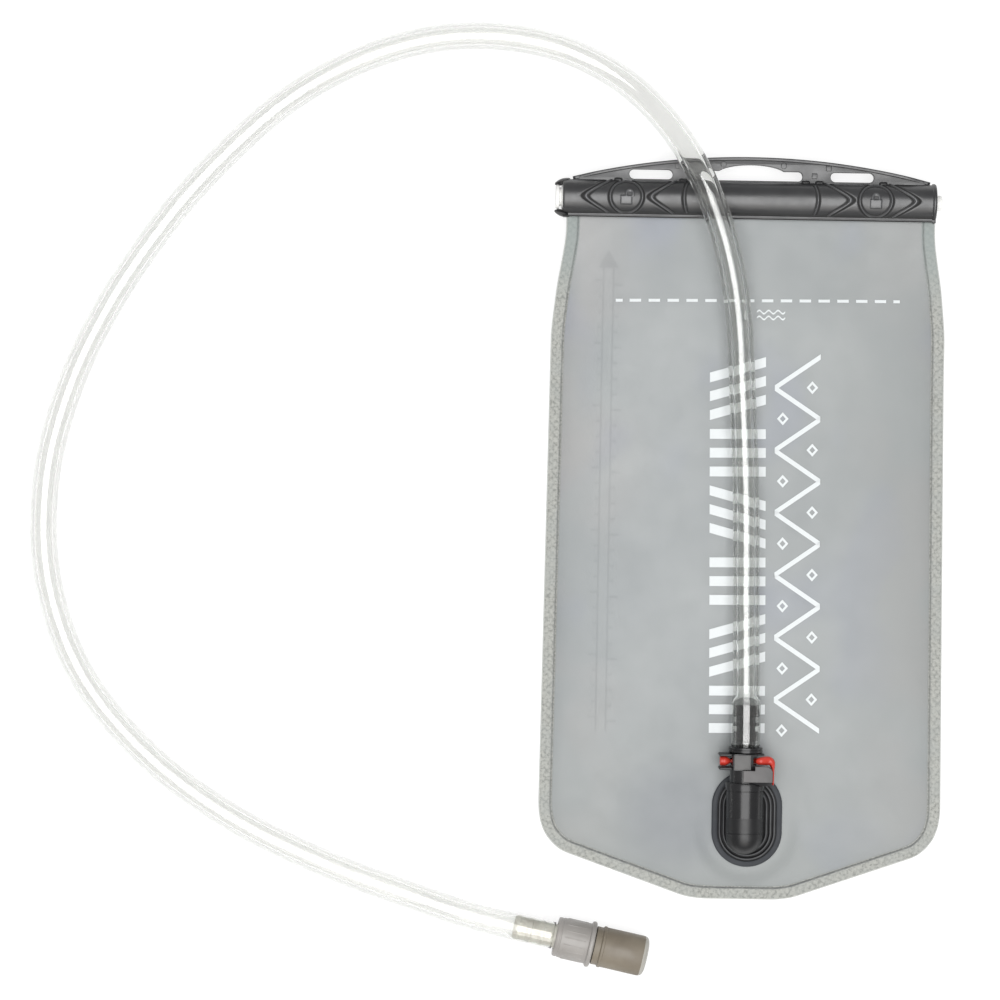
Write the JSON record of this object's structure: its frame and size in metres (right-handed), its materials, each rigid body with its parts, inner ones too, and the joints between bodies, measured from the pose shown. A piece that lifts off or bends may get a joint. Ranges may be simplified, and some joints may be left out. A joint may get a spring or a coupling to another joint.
{
  "type": "hydration bladder",
  "caption": "Drinking-water bladder: translucent film bag with a slide closure and handle, quick-release port, clear hose and bite valve.",
  "frame": {"origin": "under the middle of the bladder, on the surface that it lies on, the hose and bite valve left out", "axes": "+Y along the bladder towards its mouth, +Z out of the front film, +X to the right seen from the front"},
  "size_m": [0.4107, 0.425, 0.0295],
  "materials": {
    "film": "translucent satin film",
    "rail": "milky satin plastic",
    "moulding": "satin moulded plastic",
    "flange": "soft satin moulding",
    "pad": "fine matt texture",
    "latch_red": "smooth gloss plastic",
    "spring_steel": "drawn wire",
    "seal": "smooth rubber",
    "clear_tube": "clear gloss tube",
    "frosted": "frosted translucent plastic",
    "collar": "smoky translucent plastic",
    "silicone": "matt silicone"
  },
  "bodies": {
    "bladder": {"back_film": "film", "front_film": "film", "front_rail": "rail", "back_rail": "rail", "port_flange": "flange", "port_elbow": "moulding", "coupler_housing": "moulding", "latch_spring": "spring_steel", "poppet_spring": "spring_steel"},
    "slider": {"slide_closure": "moulding"},
    "latch": {"latch_plate": "latch_red", "thumb_pad": "pad"},
    "poppet": {"valve_poppet": "frosted", "poppet_seal": "seal"},
    "hose": {"hose_plug": "moulding", "plug_o_ring": "seal", "drinking_tube": "clear_tube", "bite_stem": "frosted", "stem_o_ring": "seal"},
    "mouthpiece": {"shutoff_collar": "collar", "valve_core": "frosted", "bite_sleeve": "silicone"}
  },
  "joints": [
    {"name": "slider_slide", "type": "slide", "parent": "bladder", "child": "slider", "axis": [1, 0, 0], "range_m": [-0.142, 0]},
    {"name": "latch_press", "type": "slide", "parent": "bladder", "child": "latch", "axis": [1, 0, 0], "range_m": [-0.0016, 0], "stiffness_N_per_m": 800, "springref_m": 0.0005, "deforming": ["latch_spring"]},
    {"name": "plug_pull", "type": "slide", "parent": "bladder", "child": "hose", "axis": [0, 1, 0], "range_m": [0, 0.015]},
    {"name": "poppet_slide", "type": "slide", "parent": "bladder", "child": "poppet", "axis": [0, 1, 0], "range_m": [0, 0.002], "deforming": ["poppet_spring"]},
    {"name": "shutoff_twist", "type": "hinge", "parent": "hose", "child": "mouthpiece", "pos_m": [-0.1014, -0.1791, 0.0104], "axis": [0.9781, -0.2079, 0], "range_deg": [0, 90]}
  ],
  "couplings": [
    {"joint": "poppet_slide", "follows": "plug_pull", "ratio": 0.13333}
  ]
}
